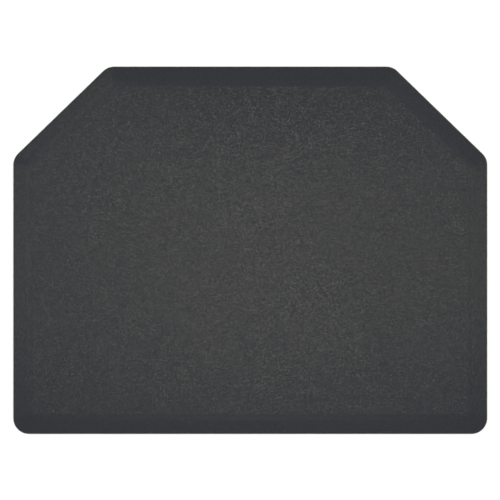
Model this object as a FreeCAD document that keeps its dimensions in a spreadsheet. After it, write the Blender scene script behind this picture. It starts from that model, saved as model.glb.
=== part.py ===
"""Anti fatigue floor mat: bonded layers of foam under one moulded, bevelled skin.

Frame, in millimetres: the origin is on the floor under the middle of the mat.  +X runs along
the width, +Y towards the narrow edge between the two cut corners, and +Z up.

The mat has two nested forms, both convex.  The outer form is the outside of the skin, and the
cavity form is the inside of the skin.  The skin is the outer form less the cavity form, and
every bonded layer is a level slice of the cavity form, so neighbours meet face to face.
"""
import FreeCAD, Part
import math
import os

import Sketcher

DIMENSIONS = [
    ("mat_width", 1143.0, "overall size along X"),
    ("mat_depth", 886.0, "overall size along Y"),
    ("mat_thickness", 19.0, "floor to standing surface"),
    ("cut_across", 228.0, "what each corner cut takes off the narrow edge, along X"),
    ("cut_down", 221.0, "what each corner cut takes off a side, along Y"),
    ("corner_radius", 38.0, "rounding of the outer corners in plan"),
    ("plateau_radius", 15.0, "rounding of the standing surface's corners in plan"),
    ("lip_height", 4.5, "upright edge below the bevel"),
    ("bevel_width", 41.0, "outer edge to the middle of the shoulder, in plan"),
    ("shoulder_radius", 60.0, "soft blend from the standing surface into the bevel"),
    ("lip_round", 2.0, "rounding between the bevel and the upright edge"),
    ("skin_thickness", 1.2, "moulded skin"),
    ("base_thickness", 1.8, "non-slip base, relief included"),
    ("film_thickness", 0.3, "adhesive film on top of the base"),
    ("support_thickness", 7.7, "firmer lower foam"),
    ("scrim_thickness", 0.4, "woven reinforcement between the two foams"),
    ("groove_pitch", 45.0, "spacing of the grip grooves"),
    ("groove_count", 30, "grooves in each of the two directions"),
    ("groove_angle", 45.0, "turn of a row of grooves from the X axis, in degrees"),
    ("groove_mouth", 4.0, "width of a groove at the floor"),
    ("groove_bottom", 2.0, "width of a groove at its bottom"),
    ("groove_depth", 0.8, "depth of a groove"),
    ("relief_border", 30.0, "plain band round the grip relief"),
]

# Formulas over the sheet's cells that several sub-parts share.
CUT_ANGLE = "atan(Dims.cut_down / Dims.cut_across)"
BEVEL_ANGLE = "atan((Dims.mat_thickness - Dims.lip_height) / Dims.bevel_width)"
SIDE_DISTANCE = "Dims.mat_width / 2"
END_DISTANCE = "Dims.mat_depth / 2"
CUT_DISTANCE = (
    f"(Dims.mat_width / 2 - Dims.cut_across) * sin({CUT_ANGLE})"
    f" + Dims.mat_depth / 2 * cos({CUT_ANGLE})"
)
FILM_BOTTOM = "Dims.base_thickness"
SUPPORT_BOTTOM = f"{FILM_BOTTOM} + Dims.film_thickness"
SCRIM_BOTTOM = f"{SUPPORT_BOTTOM} + Dims.support_thickness"
COMFORT_BOTTOM = f"{SCRIM_BOTTOM} + Dims.scrim_thickness"

# The six straight sides of the outline, anticlockwise from +X: which way each one faces, how
# far it is from the origin, and the sketch constraint that sets its direction.
SIDES = [
    ("0 deg", SIDE_DISTANCE, "Vertical"),
    (f"90 deg - {CUT_ANGLE}", CUT_DISTANCE, "Angle"),
    ("90 deg", END_DISTANCE, "Horizontal"),
    (f"90 deg + {CUT_ANGLE}", CUT_DISTANCE, "Angle"),
    ("180 deg", SIDE_DISTANCE, "Vertical"),
    ("270 deg", END_DISTANCE, "Horizontal"),
]

LEVEL_TOLERANCE = 1e-4
LINE_START, LINE_END = 1, 2
HORIZONTAL_AXIS, VERTICAL_AXIS = -1, -2
ORIGIN_POINT = (HORIZONTAL_AXIS, LINE_START)

doc = FreeCAD.newDocument("anti_fatigue_mat")
dims = doc.addObject("Spreadsheet::Sheet", "Dims")


def fill_sheet():
    """Put every driving dimension in a cell of its own, under its alias."""
    for row, (alias, size, meaning) in enumerate(DIMENSIONS, start=1):
        dims.set(f"A{row}", alias)
        dims.set(f"B{row}", str(size))
        dims.set(f"C{row}", meaning)
        dims.setAlias(f"B{row}", alias)
    doc.recompute()


def value_of(formula):
    """What a formula over the sheet comes to, in millimetres or degrees."""
    result = dims.evalExpression(formula)
    return float(getattr(result, "Value", result))


# ---------------------------------------------------------------- sketches

def add_sketch(body, name, role):
    """A new sketch on one of the body's own origin planes."""
    sketch = body.newObject("Sketcher::SketchObject", name)
    plane = next(item for item in body.Origin.OriginFeatures if item.Role == role)
    sketch.AttachmentSupport = [(plane, "")]
    sketch.MapMode = "FlatFace"
    return sketch


def bind(sketch, constraint, formula):
    """Add a dimension to a sketch and drive it from the sheet."""
    index = sketch.addConstraint(constraint)
    sketch.setExpression(f"Constraints[{index}]", formula)


def draw_outline(sketch, inset, radius):
    """Draw the mat's rounded six-sided outline, set in from the outer edge.

    inset and radius are formulas.  Each side is held by its direction and its distance from
    the origin, and each corner is an arc that is tangent to both of its sides.
    """
    corner = value_of(radius)
    normals = []
    distances = []
    for facing, distance, _ in SIDES:
        turn = math.radians(value_of(facing))
        normals.append(FreeCAD.Vector(math.cos(turn), math.sin(turn), 0))
        distances.append(value_of(f"{distance} - ({inset})"))

    centres = []
    for index, normal in enumerate(normals):
        following = (index + 1) % len(SIDES)
        beyond = normals[following]
        first = distances[index] - corner
        second = distances[following] - corner
        cross = normal.x * beyond.y - normal.y * beyond.x
        across = (first * beyond.y - second * normal.y) / cross
        along = (second * normal.x - first * beyond.x) / cross
        centres.append(FreeCAD.Vector(across, along, 0))

    lines = []
    arcs = []
    for index, normal in enumerate(normals):
        beyond = normals[(index + 1) % len(SIDES)]
        start = centres[index - 1] + normal * corner
        end = centres[index] + normal * corner
        middle = centres[index] + (normal + beyond).normalize() * corner
        lines.append(sketch.addGeometry(Part.LineSegment(start, end), False))
        arc = Part.Arc(end, middle, centres[index] + beyond * corner)
        arcs.append(sketch.addGeometry(arc, False))

    for index, (facing, distance, direction) in enumerate(SIDES):
        line = lines[index]
        arc = arcs[index]
        beyond = lines[(index + 1) % len(SIDES)]
        sketch.addConstraint(Sketcher.Constraint("Tangent", line, LINE_END, arc, LINE_START))
        sketch.addConstraint(Sketcher.Constraint("Tangent", arc, LINE_END, beyond, LINE_START))
        if direction == "Angle":
            heading = f"{facing} + 90 deg"
            if value_of(heading) > 180:
                heading = f"{heading} - 360 deg"
            turn = math.radians(value_of(heading))
            bind(sketch, Sketcher.Constraint("Angle", line, turn), heading)
        else:
            sketch.addConstraint(Sketcher.Constraint(direction, line))
        apart = Sketcher.Constraint("Distance", *ORIGIN_POINT, line, distances[index])
        bind(sketch, apart, f"{distance} - ({inset})")
    for arc in arcs[1:]:
        sketch.addConstraint(Sketcher.Constraint("Equal", arcs[0], arc))
    bind(sketch, Sketcher.Constraint("Radius", arcs[0], corner), radius)


def outline_sketch(body, name, height, inset, radius):
    """The mat's outline as a sketch at a height above the floor."""
    sketch = add_sketch(body, name, "XY_Plane")
    draw_outline(sketch, inset, radius)
    sketch.setExpression("AttachmentOffset.Base.z", height)
    return sketch


# ---------------------------------------------------------------- the two moulded forms

def round_edges(body, name, height, radius):
    """Round every edge of the body that lies level at one height."""
    doc.recompute()
    rounded = body.Tip
    level = value_of(height)
    edges = []
    for number, edge in enumerate(rounded.Shape.Edges, start=1):
        box = edge.BoundBox
        if max(abs(box.ZMin - level), abs(box.ZMax - level)) < LEVEL_TOLERANCE:
            edges.append(f"Edge{number}")
    fillet = body.newObject("PartDesign::Fillet", name)
    fillet.Base = (rounded, edges)
    fillet.setExpression("Radius", radius)
    return fillet


def mat_form(name, depth):
    """The mat's bevelled form, offset inwards by a depth below its outer surface."""
    body = doc.addObject("PartDesign::Body", name)
    lip_top = f"Dims.lip_height - ({depth}) / cos({BEVEL_ANGLE}) + ({depth}) * tan({BEVEL_ANGLE})"
    form_top = f"Dims.mat_thickness - ({depth})"
    corner = f"Dims.corner_radius - ({depth})"
    setback = f"({depth}) * tan({BEVEL_ANGLE} / 2)"

    floor_edge = outline_sketch(body, f"{name}_floor_edge", "0", depth, corner)
    lip_edge = outline_sketch(body, f"{name}_lip_edge", lip_top, depth, corner)
    plateau_edge = outline_sketch(
        body, f"{name}_plateau_edge", form_top,
        f"Dims.bevel_width + {setback}", f"Dims.plateau_radius - {setback}",
    )
    lip = body.newObject("PartDesign::Pad", f"{name}_lip")
    lip.Profile = floor_edge
    lip.setExpression("Length", lip_top)
    bevel = body.newObject("PartDesign::AdditiveLoft", f"{name}_bevel")
    bevel.Profile = lip_edge
    bevel.Sections = [plateau_edge]
    bevel.Ruled = True
    round_edges(body, f"{name}_shoulder", form_top, f"Dims.shoulder_radius - ({depth})")
    round_edges(body, f"{name}_lip_round", lip_top, f"Dims.lip_round - ({depth})")
    doc.recompute()
    return body


# ---------------------------------------------------------------- sub-parts

def wear_skin(outer, cavity):
    """The moulded skin, open underneath: standing surface, shoulder, bevel and lip."""
    skin = doc.addObject("Part::Cut", "wear_skin")
    skin.Base = outer
    skin.Tool = cavity
    return skin


def bonded_layer(name, cavity, bottom, thickness):
    """A level layer that fills the skin from side to side."""
    slab = doc.addObject("Part::Box", f"{name}_slab")
    slab.setExpression("Length", "Dims.mat_width")
    slab.setExpression("Width", "Dims.mat_depth")
    slab.setExpression("Height", thickness)
    slab.setExpression("Placement.Base.x", "-Dims.mat_width / 2")
    slab.setExpression("Placement.Base.y", "-Dims.mat_depth / 2")
    slab.setExpression("Placement.Base.z", bottom)
    layer = doc.addObject("Part::Common", name)
    layer.Base = cavity
    layer.Tool = slab
    return layer


def groove_profile(body, name, side):
    """Cross-section of the first groove of a row, upright and square to the groove."""
    sketch = add_sketch(body, name, "XZ_Plane")
    half_mouth = value_of("Dims.groove_mouth / 2")
    half_bottom = value_of("Dims.groove_bottom / 2")
    depth = value_of("Dims.groove_depth")
    corners = [(-half_mouth, 0), (half_mouth, 0), (half_bottom, depth), (-half_bottom, depth)]
    points = [FreeCAD.Vector(across, up, 0) for across, up in corners]
    for index, point in enumerate(points):
        beyond = points[(index + 1) % len(points)]
        sketch.addGeometry(Part.LineSegment(point, beyond), False)
    for line in range(len(points)):
        beyond = (line + 1) % len(points)
        joint = Sketcher.Constraint("Coincident", line, LINE_END, beyond, LINE_START)
        sketch.addConstraint(joint)
    mouth, bottom = 0, 2
    for line in (mouth, bottom):
        middle = Sketcher.Constraint(
            "Symmetric", line, LINE_START, line, LINE_END, VERTICAL_AXIS)
        sketch.addConstraint(middle)
    on_floor = Sketcher.Constraint("PointOnObject", mouth, LINE_START, HORIZONTAL_AXIS)
    sketch.addConstraint(on_floor)
    mouth_width = Sketcher.Constraint(
        "DistanceX", mouth, LINE_START, mouth, LINE_END, 2 * half_mouth)
    bind(sketch, mouth_width, "Dims.groove_mouth")
    bottom_width = Sketcher.Constraint(
        "DistanceX", bottom, LINE_END, bottom, LINE_START, 2 * half_bottom)
    bind(sketch, bottom_width, "Dims.groove_bottom")
    height = Sketcher.Constraint(
        "DistanceY", mouth, LINE_END, bottom, LINE_START, depth)
    bind(sketch, height, "Dims.groove_depth")

    first = "(Dims.groove_count - 1) / 2 * Dims.groove_pitch"
    turn = f"{side} * Dims.groove_angle"
    sketch.setExpression("AttachmentOffset.Rotation.Axis.x", "0")
    sketch.setExpression("AttachmentOffset.Rotation.Axis.y", "1")
    sketch.setExpression("AttachmentOffset.Rotation.Axis.z", "0")
    sketch.setExpression("AttachmentOffset.Rotation.Angle", turn)
    sketch.setExpression("AttachmentOffset.Base.x", f"-{first} * cos({turn})")
    sketch.setExpression("AttachmentOffset.Base.z", f"{first} * sin({turn})")
    return sketch


def base_sheet():
    """The non-slip base, inside the skin's rim, with crossed rows of grip grooves."""
    body = doc.addObject("PartDesign::Body", "base_sheet")
    rim = "Dims.skin_thickness"
    corner = f"Dims.corner_radius - {rim}"
    sheet = body.newObject("PartDesign::Pad", "base_blank")
    sheet.Profile = outline_sketch(body, "base_edge", "0", rim, corner)
    sheet.setExpression("Length", "Dims.base_thickness")

    for row, side in (("left", -1), ("right", 1)):
        profile = groove_profile(body, f"groove_profile_{row}", side)
        doc.recompute()
        before = body.Tip.Shape.Volume
        groove = body.newObject("PartDesign::Pocket", f"groove_{row}")
        groove.Profile = profile
        groove.Midplane = True
        groove.setExpression("Length", "2 * (Dims.mat_width + Dims.mat_depth)")
        doc.recompute()
        rows = body.newObject("PartDesign::LinearPattern", f"grooves_{row}")
        rows.Originals = [groove]
        rows.Direction = (profile, ["H_Axis"])
        rows.Mode = "Spacing"
        rows.setExpression("Occurrences", "Dims.groove_count")
        rows.setExpression("Offset", "Dims.groove_pitch")
        body.Tip = rows
        doc.recompute()
        removed = before - body.Tip.Shape.Volume
        print(f"grooves_{row} take {removed:.0f} mm3 out of the base")
        if removed <= 0:
            raise RuntimeError(f"grooves_{row} cut nothing")

    border = add_sketch(body, "border_band", "XY_Plane")
    draw_outline(border, rim, corner)
    draw_outline(border, f"{rim} + Dims.relief_border", f"{corner} - Dims.relief_border")
    band = body.newObject("PartDesign::Pad", "plain_border")
    band.Profile = border
    band.setExpression("Length", "Dims.groove_depth")
    doc.recompute()
    return body


# ---------------------------------------------------------------- build and export

def check_document():
    """Stop if any object of the document failed to compute."""
    for item in doc.Objects:
        if "Invalid" in item.State or "Error" in item.State:
            raise RuntimeError(f"{item.Name} is {item.State}")


def export(sub_parts):
    """Check each sub-part's shape, then write them all."""
    for sub_part in sub_parts:
        shape = sub_part.Shape
        if shape.isNull() or not shape.isValid() or len(shape.Solids) != 1:
            raise RuntimeError(f"{sub_part.Label} has no single valid solid")
    os.makedirs("parts", exist_ok=True)
    for sub_part in sub_parts:
        shape = sub_part.Shape
        shape.exportStep(f"parts/{sub_part.Label}.step")
        box = shape.optimalBoundingBox()
        print(
            f"{sub_part.Label}: {box.XLength:.1f} x {box.YLength:.1f} mm,"
            f" z {box.ZMin:.2f} to {box.ZMax:.2f}, {shape.Volume / 1000:.0f} cm3"
        )


fill_sheet()
outer_form = mat_form("outer_form", "0")
cavity_form = mat_form("cavity_form", "Dims.skin_thickness")
mat_parts = [
    wear_skin(outer_form, cavity_form),
    bonded_layer("comfort_foam", cavity_form, COMFORT_BOTTOM, "Dims.mat_thickness"),
    bonded_layer("stabiliser_scrim", cavity_form, SCRIM_BOTTOM, "Dims.scrim_thickness"),
    bonded_layer("support_foam", cavity_form, SUPPORT_BOTTOM, "Dims.support_thickness"),
    bonded_layer("bond_film", cavity_form, FILM_BOTTOM, "Dims.film_thickness"),
    base_sheet(),
]
doc.recompute()
check_document()
export(mat_parts)
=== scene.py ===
"""The looks of the anti fatigue mat: one moulded skin over bonded layers, on a pale floor.

Metres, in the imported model's own frame.  Every moulded piece is made by the same builder: a
profile of rings runs round the mat's outline, and an even grid closes it above and below.
"""
import math

import bpy
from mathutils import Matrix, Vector, noise


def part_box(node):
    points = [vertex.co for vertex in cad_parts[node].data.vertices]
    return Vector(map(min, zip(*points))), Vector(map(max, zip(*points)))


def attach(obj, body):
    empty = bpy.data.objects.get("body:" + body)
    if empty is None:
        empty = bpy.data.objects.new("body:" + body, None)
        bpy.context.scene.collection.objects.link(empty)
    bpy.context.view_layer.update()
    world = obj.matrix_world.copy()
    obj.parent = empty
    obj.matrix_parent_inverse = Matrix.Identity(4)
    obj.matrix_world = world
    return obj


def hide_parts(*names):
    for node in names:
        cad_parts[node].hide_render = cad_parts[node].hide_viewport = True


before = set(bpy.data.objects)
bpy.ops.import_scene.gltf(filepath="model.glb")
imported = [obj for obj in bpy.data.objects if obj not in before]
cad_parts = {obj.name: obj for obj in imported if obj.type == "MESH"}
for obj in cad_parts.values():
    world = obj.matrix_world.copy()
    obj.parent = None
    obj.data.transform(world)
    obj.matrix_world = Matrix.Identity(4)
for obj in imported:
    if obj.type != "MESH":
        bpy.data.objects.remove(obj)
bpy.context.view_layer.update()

# ---------------------------------------------------------------- sizes, in metres

MM = 0.001
SKIN_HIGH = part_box("wear_skin")[1]
COMFORT_LOW, COMFORT_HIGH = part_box("comfort_foam")
SCRIM_LOW, SCRIM_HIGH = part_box("stabiliser_scrim")
SUPPORT_LOW, SUPPORT_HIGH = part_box("support_foam")
FILM_LOW, FILM_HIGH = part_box("bond_film")

HALF_WIDTH = SKIN_HIGH.x
HALF_DEPTH = SKIN_HIGH.y
THICKNESS = SKIN_HIGH.z
SKIN = THICKNESS - COMFORT_HIGH.z

# The outline in plan.  Inside the plateau the corners keep their least radius.
CUT_ACROSS = 228 * MM
CUT_DOWN = 221 * MM
CORNER_RADIUS = 38 * MM
PLATEAU_RADIUS = 15 * MM
LEAST_RADIUS = 8 * MM

# The edge in section, from the floor up, and the gap between one layer and the next.
RIM_ROUND = 0.4 * MM
LIP_HEIGHT = 4.5 * MM
LIP_ROUND = 2 * MM
BEVEL_WIDTH = 41 * MM
SHOULDER_RADIUS = 60 * MM
GAP = 0.05 * MM

# The unevenness of the standing surface: two waves, and how far in from the edge it starts.
EVEN_EDGE = 55 * MM
SLOW_WAVE, SLOW_HEIGHT, SLOW_SHIFT = 210 * MM, 0.35 * MM, Vector((3.1, 7.7, 0))
QUICK_WAVE, QUICK_HEIGHT, QUICK_SHIFT = 90 * MM, 0.12 * MM, Vector((11.3, 2.9, 5))

CUT_ANGLE = math.atan2(CUT_DOWN, CUT_ACROSS)
BEVEL_ANGLE = math.atan2(THICKNESS - LIP_HEIGHT, BEVEL_WIDTH)
CUT_DISTANCE = (
    (HALF_WIDTH - CUT_ACROSS) * math.sin(CUT_ANGLE) + HALF_DEPTH * math.cos(CUT_ANGLE)
)

# The straight sides of the outline, anticlockwise: which way each faces, its distance from the
# origin, and how many steps the mesh takes along it.
LONG_STEPS, SIDE_STEPS, CUT_STEPS, CORNER_STEPS = 60, 32, 18, 12
SIDES = [
    (math.radians(270), HALF_DEPTH, LONG_STEPS),
    (0, HALF_WIDTH, SIDE_STEPS),
    (math.radians(90) - CUT_ANGLE, CUT_DISTANCE, CUT_STEPS),
    (math.radians(90), HALF_DEPTH, LONG_STEPS),
    (math.radians(90) + CUT_ANGLE, CUT_DISTANCE, CUT_STEPS),
    (math.radians(180), HALF_WIDTH, SIDE_STEPS),
]
COLUMNS = LONG_STEPS + CORNER_STEPS
ROWS = SIDE_STEPS + CUT_STEPS + 2 * CORNER_STEPS
RING = 2 * (COLUMNS + ROWS)


# ---------------------------------------------------------------- the moulded form

def corner_radius(inset):
    """Plan radius of the corners: it shrinks up the bevel, because the bevel is ruled."""
    share = inset / BEVEL_WIDTH
    return max(LEAST_RADIUS, CORNER_RADIUS + (PLATEAU_RADIUS - CORNER_RADIUS) * share)


def outline(inset):
    """The closed outline at an inset, anticlockwise from the middle of a corner."""
    radius = corner_radius(inset)
    normals = [Vector((math.cos(turn), math.sin(turn))) for turn, distance, steps in SIDES]
    reach = [distance - inset - radius for turn, distance, steps in SIDES]
    centres = []
    for index, normal in enumerate(normals):
        following = (index + 1) % len(SIDES)
        beyond = normals[following]
        cross = normal.x * beyond.y - normal.y * beyond.x
        centres.append(Vector((
            (reach[index] * beyond.y - reach[following] * normal.y) / cross,
            (reach[following] * normal.x - reach[index] * beyond.x) / cross,
        )))
    points = []
    for index, (turn, distance, steps) in enumerate(SIDES):
        start = centres[index - 1] + normals[index] * radius
        end = centres[index] + normals[index] * radius
        points += [start.lerp(end, step / steps) for step in range(steps)]
        sweep = (SIDES[(index + 1) % len(SIDES)][0] - turn) % (2 * math.pi)
        for step in range(CORNER_STEPS):
            angle = turn + sweep * step / CORNER_STEPS
            points.append(centres[index] + Vector((math.cos(angle), math.sin(angle))) * radius)
    half = CORNER_STEPS // 2
    return points[-half:] + points[:-half]


def arc(centre, radius, start, end, steps):
    """Points (inset, height) on an arc of the profile, both ends included."""
    points = []
    for step in range(steps + 1):
        angle = start + (end - start) * step / steps
        points.append((centre[0] + radius * math.cos(angle), centre[1] + radius * math.sin(angle)))
    return points


def bevel_profile(depth, lip_steps, bevel_steps, shoulder_steps):
    """The form's profile at a depth below its outer surface: lip, bevel, shoulder and plateau.

    Each point is (inset, height).  It starts at the top of the upright lip.
    """
    slope = math.tan(BEVEL_ANGLE)
    top = THICKNESS - depth
    lip_top = LIP_HEIGHT - depth / math.cos(BEVEL_ANGLE) + depth * slope
    plateau = BEVEL_WIDTH + depth * math.tan(BEVEL_ANGLE / 2)
    lip_radius = max(LIP_ROUND - depth, RIM_ROUND)
    shoulder_radius = SHOULDER_RADIUS - depth
    lip_turn = math.radians(90) - BEVEL_ANGLE
    lip_tangent = lip_radius * math.tan(lip_turn / 2)
    lip_centre = (depth + lip_radius, lip_top - lip_tangent)
    tangent = shoulder_radius * math.tan(BEVEL_ANGLE / 2)
    shoulder_centre = (plateau + tangent, top - shoulder_radius)
    upright, level = math.radians(180), math.radians(90)
    rounded = arc(lip_centre, lip_radius, upright, level + BEVEL_ANGLE, lip_steps)
    shoulder = arc(shoulder_centre, shoulder_radius, level + BEVEL_ANGLE, level, shoulder_steps)
    start, end = Vector(rounded[-1]), Vector(shoulder[0])
    bevel = [tuple(start.lerp(end, step / bevel_steps)) for step in range(1, bevel_steps)]
    return rounded + bevel + shoulder


def undulation(point):
    """The slow unevenness of a moulded foam surface, which dies away towards the shoulder."""
    fade = min(max((edge_distance(point) - EVEN_EDGE) / EVEN_EDGE, 0), 1)
    spot = point.to_3d()
    slow = noise.noise(spot / SLOW_WAVE + SLOW_SHIFT)
    quick = noise.noise(spot / QUICK_WAVE + QUICK_SHIFT)
    return fade * (SLOW_HEIGHT * slow + QUICK_HEIGHT * quick)


def grid_inside(ring):
    """Rows of points that fill a ring, blended between its four sides."""
    bottom = ring[:COLUMNS + 1]
    right = ring[COLUMNS:COLUMNS + ROWS + 1]
    top = ring[COLUMNS + ROWS:2 * COLUMNS + ROWS + 1][::-1]
    left = (ring[2 * COLUMNS + ROWS:] + ring[:1])[::-1]
    rows = []
    for row in range(1, ROWS):
        up = row / ROWS
        line = []
        for column in range(1, COLUMNS):
            across = column / COLUMNS
            level = bottom[column].lerp(top[column], up)
            upright = left[row].lerp(right[row], across)
            corners = bottom[0].lerp(bottom[-1], across).lerp(top[0].lerp(top[-1], across), up)
            line.append(level + upright - corners)
        rows.append(line)
    return rows


def grid_faces(ring_start, grid_start):
    """Quads of a grid and of the ring round it, facing up."""
    def number(row, column):
        if row == 0:
            return ring_start + column
        if row == ROWS:
            return ring_start + COLUMNS + ROWS + COLUMNS - column
        if column == COLUMNS:
            return ring_start + COLUMNS + row
        if column == 0:
            return ring_start + RING - row
        return grid_start + (row - 1) * (COLUMNS - 1) + column - 1

    faces = []
    for row in range(ROWS):
        for column in range(COLUMNS):
            faces.append((
                number(row, column), number(row, column + 1),
                number(row + 1, column + 1), number(row + 1, column),
            ))
    return faces


def edge_distance(point):
    """How far inside the outline's straight sides a point is."""
    return min(
        distance - point.dot(Vector((math.cos(turn), math.sin(turn))))
        for turn, distance, steps in SIDES
    )


def moulded_piece(name, profile, uneven_under=False, uneven_over=False):
    """A closed mesh: the profile's rings from the underside's edge to the top's edge, and a
    grid across each end, level or with the moulding's slow unevenness."""
    vertices = []
    faces = []
    for inset, height in profile:
        vertices += [(point.x, point.y, height) for point in outline(inset)]
    for ring in range(len(profile) - 1):
        low, high = ring * RING, (ring + 1) * RING
        for step in range(RING):
            beyond = (step + 1) % RING
            faces.append((low + step, low + beyond, high + beyond, high + step))

    for ring, uneven in ((0, uneven_under), (len(profile) - 1, uneven_over)):
        inset, height = profile[ring]
        start = len(vertices)
        for line in grid_inside(outline(inset)):
            for point in line:
                lift = undulation(point) if uneven else 0
                vertices.append((point.x, point.y, height + lift))
        grid = grid_faces(ring * RING, start)
        faces += grid if ring else [face[::-1] for face in grid]

    mesh = bpy.data.meshes.new(name)
    mesh.from_pydata(vertices, [], faces)
    mesh.shade_smooth()
    mesh.validate()
    piece = bpy.data.objects.new(name, mesh)
    bpy.context.scene.collection.objects.link(piece)
    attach(piece, "root")
    return piece


# ---------------------------------------------------------------- materials

# A wave texture of scale 1 has one band in pi / 10 units.
THREAD = 1.6 * MM
THREADS_SCALE = math.pi / 10 / THREAD

# The skin: its pebbles and how far they lean, its broad clouds, and its range of roughness.
PEBBLE, PEBBLE_LEAN = 1.9 * MM, 0.12
CLOUD = 70 * MM
DULLEST, DULL, SHINIEST = 0.30, 0.26, 0.2
SKIN_GLOSS = 0.3

SOFT_CELL, FIRM_CELL = 1.1 * MM, 0.7 * MM


def material(name):
    """A new node material: its tree and its surface shader."""
    made = bpy.data.materials.new(name)
    made.use_nodes = True
    return made, made.node_tree, made.node_tree.nodes["Principled BSDF"]


def add(tree, kind, inputs=None, **settings):
    """Add a node.  An input is a value, or an output socket to link from."""
    node = tree.nodes.new(kind)
    for name, value in settings.items():
        setattr(node, name, value)
    for name, value in (inputs or {}).items():
        if isinstance(value, bpy.types.NodeSocket):
            tree.links.new(value, node.inputs[name])
        else:
            node.inputs[name].default_value = value
    return node


def place(tree):
    """Where a point is on the mat, in metres."""
    return add(tree, "ShaderNodeTexCoord").outputs["Object"]


def noise_at(tree, grain, detail, rough):
    """A noise texture whose features are about one grain across, in metres."""
    inputs = {"Vector": place(tree), "Scale": 1 / grain, "Detail": detail, "Roughness": rough}
    return add(tree, "ShaderNodeTexNoise", inputs).outputs["Fac"]


def remap(tree, value, low, high, to_low, to_high):
    """Stretch a value from one range to another, held at both ends."""
    inputs = {
        "Value": value, "From Min": low, "From Max": high, "To Min": to_low, "To Max": to_high,
    }
    return add(tree, "ShaderNodeMapRange", inputs).outputs["Result"]


def cells(tree, across):
    """Distance from the middle of the nearest of many small round cells, in cell widths."""
    inputs = {"Vector": place(tree), "Scale": 1 / across, "Smoothness": 0.6, "Randomness": 1.0}
    return add(tree, "ShaderNodeTexVoronoi", inputs, feature="SMOOTH_F1").outputs["Distance"]


def stripes(tree, direction):
    """Threads that lie side by side, as a wave from 0 to 1 across them."""
    inputs = {"Vector": place(tree), "Scale": THREADS_SCALE, "Distortion": 0.0}
    wave = add(tree, "ShaderNodeTexWave", inputs, bands_direction=direction, wave_type="BANDS")
    return wave.outputs["Fac"]


def blend_colours(tree, share, first, second):
    """Mix two colours by a share."""
    mix = add(tree, "ShaderNodeMix", data_type="RGBA")
    for socket, value in ((mix.inputs[0], share), (mix.inputs[6], first), (mix.inputs[7], second)):
        if isinstance(value, bpy.types.NodeSocket):
            tree.links.new(value, socket)
        else:
            socket.default_value = value
    return mix.outputs[2]


def sums(tree, operation, first, second):
    """One step of arithmetic on two values."""
    return add(tree, "ShaderNodeMath", {0: first, 1: second}, operation=operation).outputs[0]


def vector_sums(tree, operation, first, second):
    """One step of arithmetic on two vectors."""
    step = add(tree, "ShaderNodeVectorMath", {0: first, 1: second}, operation=operation)
    return step.outputs["Vector"]


def bump(tree, height, distance, strength=1.0):
    """A bump from a height that runs from 0 to 1, over a distance in metres."""
    inputs = {"Height": height, "Distance": distance, "Strength": strength}
    return add(tree, "ShaderNodeBump", inputs).outputs["Normal"]


def facets(tree, pebbles, lean):
    """A normal that leans each pebble's face its own way, by a slope of up to about lean."""
    away = vector_sums(tree, "SUBTRACT", place(tree), pebbles.outputs["Position"])
    direction = vector_sums(tree, "SUBTRACT", pebbles.outputs["Color"], (0.5, 0.5, 0.5))
    height = add(tree, "ShaderNodeVectorMath", {0: away, 1: direction}, operation="DOT_PRODUCT")
    return bump(tree, height.outputs["Value"], 2 * lean)


def skin_material():
    """Moulded charcoal polyurethane: cool, dark pebbles that lean all ways, each with its own
    shine, under faint broad clouds of colour."""
    made, tree, shader = material("pebbled_polyurethane")
    pebbles = add(tree, "ShaderNodeTexVoronoi", {"Vector": place(tree), "Scale": 1 / PEBBLE})
    split = add(tree, "ShaderNodeSeparateColor", {"Color": pebbles.outputs["Color"]})
    chance = split.outputs["Blue"]
    clouds = noise_at(tree, CLOUD, 3.0, 0.6)
    dark = blend_colours(tree, clouds, (0.0098, 0.0109, 0.0154, 1), (0.0111, 0.0124, 0.0174, 1))
    pale = (0.0118, 0.0131, 0.0184, 1)
    tree.links.new(blend_colours(tree, chance, dark, pale), shader.inputs["Base Color"])
    dull = remap(tree, clouds, 0.3, 0.7, DULLEST, DULL)
    tree.links.new(remap(tree, chance, 0.0, 1.0, dull, SHINIEST), shader.inputs["Roughness"])
    shader.inputs["Specular IOR Level"].default_value = SKIN_GLOSS
    tree.links.new(facets(tree, pebbles, PEBBLE_LEAN), shader.inputs["Normal"])
    return made


def foam_material(name, dark, pale, cell):
    """Cut polyurethane foam: open cells of one size, with a mottled colour and no gloss."""
    made, tree, shader = material(name)
    pores = cells(tree, cell)
    mottle = noise_at(tree, 20 * cell, 3.0, 0.6)
    shade = sums(tree, "MULTIPLY", remap(tree, pores, 0.1, 0.6, 1.0, 0.35), mottle)
    tree.links.new(blend_colours(tree, shade, dark, pale), shader.inputs["Base Color"])
    tree.links.new(remap(tree, pores, 0.1, 0.6, 0.95, 0.8), shader.inputs["Roughness"])
    tree.links.new(bump(tree, pores, 0.4 * cell, 0.8), shader.inputs["Normal"])
    return made


def weave_material():
    """Plain-woven polyester: warp and weft pass over and under each other in turn. Its colour
    carries painted shade, darker down each thread's sides and in the gaps between threads.
    """
    made, tree, shader = material("woven_polyester")
    across = stripes(tree, "X")
    along = stripes(tree, "Y")
    over = sums(tree, "MULTIPLY", across, along)
    threads = sums(tree, "MAXIMUM", across, along)
    lint = noise_at(tree, 14 * MM, 3.0, 0.6)
    # Painted shade: the colour darkens with the threads' height, down their sides and in the gaps
    # between them, under a random lint tone.
    shade = sums(tree, "MULTIPLY", remap(tree, threads, 0.2, 0.9, 0.2, 1.0), lint)
    tree.links.new(
        blend_colours(tree, shade, (0.30, 0.31, 0.32, 1), (0.66, 0.66, 0.63, 1)),
        shader.inputs["Base Color"],
    )
    tree.links.new(remap(tree, lint, 0.3, 0.7, 0.7, 0.85), shader.inputs["Roughness"])
    height = sums(tree, "ADD", threads, over)
    tree.links.new(bump(tree, height, 0.15 * MM, 0.8), shader.inputs["Normal"])
    return made


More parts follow.
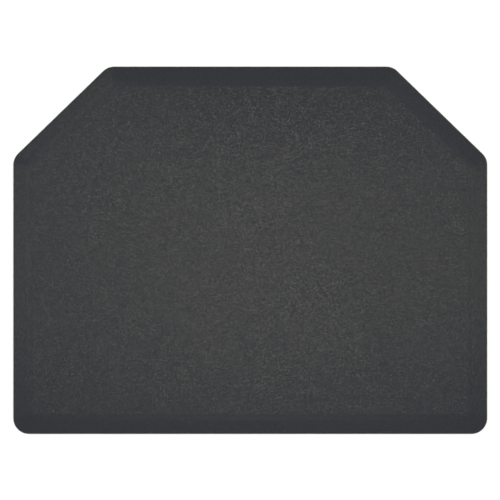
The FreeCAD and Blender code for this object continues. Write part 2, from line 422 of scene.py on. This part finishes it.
def film_material():
    """Heat-activated adhesive film: smooth, milky amber, a little wrinkled."""
    made, tree, shader = material("adhesive_film")
    streaks = noise_at(tree, 35 * MM, 4.0, 0.6)
    tree.links.new(
        blend_colours(tree, streaks, (0.42, 0.36, 0.22, 1), (0.58, 0.52, 0.36, 1)),
        shader.inputs["Base Color"],
    )
    tree.links.new(remap(tree, streaks, 0.3, 0.7, 0.25, 0.45), shader.inputs["Roughness"])
    tree.links.new(bump(tree, streaks, 0.3 * MM, 0.5), shader.inputs["Normal"])
    return made


def grip_material():
    """Matt black rubber: a fine suede-like tooth, with a faint bloom."""
    made, tree, shader = material("grip_rubber")
    tooth = noise_at(tree, 0.9 * MM, 3.0, 0.65)
    bloom = noise_at(tree, 70 * MM, 4.0, 0.6)
    tree.links.new(
        blend_colours(tree, bloom, (0.022, 0.022, 0.023, 1), (0.040, 0.040, 0.041, 1)),
        shader.inputs["Base Color"],
    )
    tree.links.new(remap(tree, tooth, 0.3, 0.7, 0.55, 0.75), shader.inputs["Roughness"])
    tree.links.new(bump(tree, tooth, 0.12 * MM, 0.6), shader.inputs["Normal"])
    return made


def floor_material():
    """Plain pale studio floor."""
    made, tree, shader = material("floor_paint")
    shader.inputs["Base Color"].default_value = (0.98, 0.98, 0.98, 1)
    shader.inputs["Roughness"].default_value = 0.9
    shader.inputs["Specular IOR Level"].default_value = 0.1
    return made


# ---------------------------------------------------------------- pieces

def dress(piece, node, finish):
    """Give a piece its finish, and hide the CAD node that it stands for."""
    piece.data.materials.append(finish)
    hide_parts(node)


def make_skin():
    """The skin: the inside of its shell, its rim on the floor, and the outside."""
    inside = bevel_profile(SKIN, lip_steps=2, bevel_steps=5, shoulder_steps=5)[::-1]
    rim = [
        (SKIN, 0.5 * LIP_HEIGHT), (SKIN, RIM_ROUND / 2),
        (SKIN - RIM_ROUND / 2, 0), (RIM_ROUND, 0),
    ]
    turned = arc((RIM_ROUND, RIM_ROUND), RIM_ROUND, math.radians(270), math.radians(180), 3)[1:]
    outside = bevel_profile(0, lip_steps=5, bevel_steps=7, shoulder_steps=8)
    profile = inside + rim + turned + outside
    skin = moulded_piece("mat_skin", profile, uneven_under=True, uneven_over=True)
    dress(skin, "wear_skin", skin_material())


def layer_profile(low, high):
    """The edge of a layer cut to fit inside the skin, between two heights."""
    edge = bevel_profile(SKIN + GAP, lip_steps=2, bevel_steps=5, shoulder_steps=5)
    edge = [(edge[0][0], 0)] + edge
    profile = []
    for (inset, height), (next_inset, next_height) in zip(edge, edge[1:]):
        rise = next_height - height
        for level in (low, high):
            if height < level <= next_height:
                share = (level - height) / rise
                profile.append((inset + share * (next_inset - inset), level))
        if low < next_height < high:
            profile.append((next_inset, next_height))
    return profile


def flat_size(profile):
    """Width, length and area of the cut whose edge is the widest ring of a profile."""
    ring = outline(min(inset for inset, height in profile))
    width = max(point.x for point in ring) - min(point.x for point in ring)
    length = max(point.y for point in ring) - min(point.y for point in ring)
    pairs = zip(ring, ring[1:] + ring[:1])
    area = sum(here.x * beyond.y - beyond.x * here.y for here, beyond in pairs) / 2
    return width, length, area


def make_foams():
    """The two foam pads.  The upper one's face follows the skin's slow unevenness."""
    soft = foam_material(
        "soft_foam_cells", (0.030, 0.031, 0.033, 1), (0.135, 0.138, 0.142, 1), SOFT_CELL
    )
    firm = foam_material(
        "firm_foam_cells", (0.016, 0.016, 0.017, 1), (0.070, 0.071, 0.073, 1), FIRM_CELL
    )
    for name, node, slot, finish, low, high, uneven_over in (
        ("support_foam_pad", "support_foam", "firm_foam", firm, SUPPORT_LOW, SUPPORT_HIGH, False),
        ("comfort_foam_pad", "comfort_foam", "soft_foam", soft, COMFORT_LOW, COMFORT_HIGH, True),
    ):
        profile = layer_profile(low.z + GAP, high.z - GAP)
        pad = moulded_piece(name, profile, uneven_over=uneven_over)
        dress(pad, node, finish)


def make_sheets():
    """The woven scrim between the foams, and the adhesive film over the base."""
    weave, film = weave_material(), film_material()
    for name, node, slot, finish, low, high, under in (
        ("scrim_cloth", "stabiliser_scrim", "scrim", weave, SCRIM_LOW, SCRIM_HIGH,
         "support_foam_pad"),
        ("adhesive_film", "bond_film", "adhesive", film, FILM_LOW, FILM_HIGH, "base_sheet"),
    ):
        profile = layer_profile(low.z + GAP, high.z - GAP)
        sheet = moulded_piece(name, profile)
        dress(sheet, node, finish)
        width, length, area = flat_size(profile)


def finish_base():
    """The rubber base keeps its CAD shape, with its grip relief, and gets its own finish."""
    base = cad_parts["base_sheet"]
    for place_on_base in base.material_slots:
        place_on_base.material = grip_material()


make_skin()
make_foams()
make_sheets()
finish_base()

# ---------------------------------------------------------------- floor, light and camera

FLOOR_SIZE, FLOOR_DROP = 60, 0.2 * MM


def make_floor():
    """A wide level floor, a hair below the mat so that no two faces share a plane."""
    bpy.ops.mesh.primitive_plane_add(size=FLOOR_SIZE, location=(0, 0, -FLOOR_DROP))
    floor = bpy.context.object
    floor.name = "floor"
    floor.data.materials.append(floor_material())


# Soft boxes that face the mat: name, degrees from straight up, degrees round from +X, metres
# away, width and height in metres, watts and colour.  The overhead one lights the standing
# surface, the two high ones light the shoulders, and each of the others lights a bevel.
LIGHTS = [
    ("overhead", 0.6, 270, 3.4, 1.9, 0.38, 18.2, (1.0, 0.965, 0.77)),
    ("high_left", 34, 180, 2.8, 0.8, 1.4, 2.8, (1.0, 0.98, 0.8)),
    ("high_right", 32, 0, 2.8, 0.8, 1.4, 3.8, (1.0, 0.95, 0.7)),
    ("left", 49, 180, 2.8, 0.4, 1.4, 4.4, (1.0, 0.98, 0.76)),
    ("right", 51, 0, 2.8, 0.4, 1.4, 4.4, (1.0, 0.96, 0.7)),
    ("back", 37, 90, 2.8, 1.4, 1.2, 1.6, (1.0, 0.985, 0.8)),
    ("front", 36, 270, 2.8, 1.4, 1.2, 4.6, (1.0, 0.985, 0.8)),
    ("back_left", 43, 135, 2.8, 0.6, 1.3, 5.2, (1.0, 0.98, 0.78)),
    ("back_right", 44, 45, 2.8, 0.6, 1.0, 2.0, (1.0, 0.98, 0.8)),
]
ROOM_LIGHT = 0.85
ROOM_COLOUR = (0.955, 0.97, 1.0, 1)


def make_lights():
    """The soft boxes, and an even light from the room all round."""
    for name, tilt, turn, away, width, height, watts, colour in LIGHTS:
        data = bpy.data.lights.new(name, "AREA")
        data.shape = "RECTANGLE"
        data.size = width
        data.size_y = height
        data.energy = watts
        data.color = colour
        lamp = bpy.data.objects.new(name, data)
        tilt, turn = math.radians(tilt), math.radians(turn)
        level = Vector((math.cos(turn), math.sin(turn), 0))
        facing = math.sin(tilt) * level + math.cos(tilt) * Vector((0, 0, 1))
        lamp.location = facing * away
        lamp.rotation_euler = facing.to_track_quat("Z", "Y").to_euler()
        lamp.visible_camera = False
        bpy.context.scene.collection.objects.link(lamp)
    world = bpy.data.worlds.new("room")
    world.use_nodes = True
    sky = world.node_tree.nodes["Background"]
    sky.inputs["Color"].default_value = ROOM_COLOUR
    sky.inputs["Strength"].default_value = ROOM_LIGHT
    bpy.context.scene.world = world


CAMERA_LENS = 85
CAMERA_PLACE = (-0.56 * MM, 0.7 * MM, 2.851)


def make_camera():
    """Straight above the mat, as the photograph was taken."""
    data = bpy.data.cameras.new("camera")
    data.lens = CAMERA_LENS
    camera = bpy.data.objects.new("camera", data)
    camera.location = CAMERA_PLACE
    bpy.context.scene.collection.objects.link(camera)
    bpy.context.scene.camera = camera
    bpy.context.scene.view_settings.view_transform = "Standard"


make_floor()
make_lights()
make_camera()
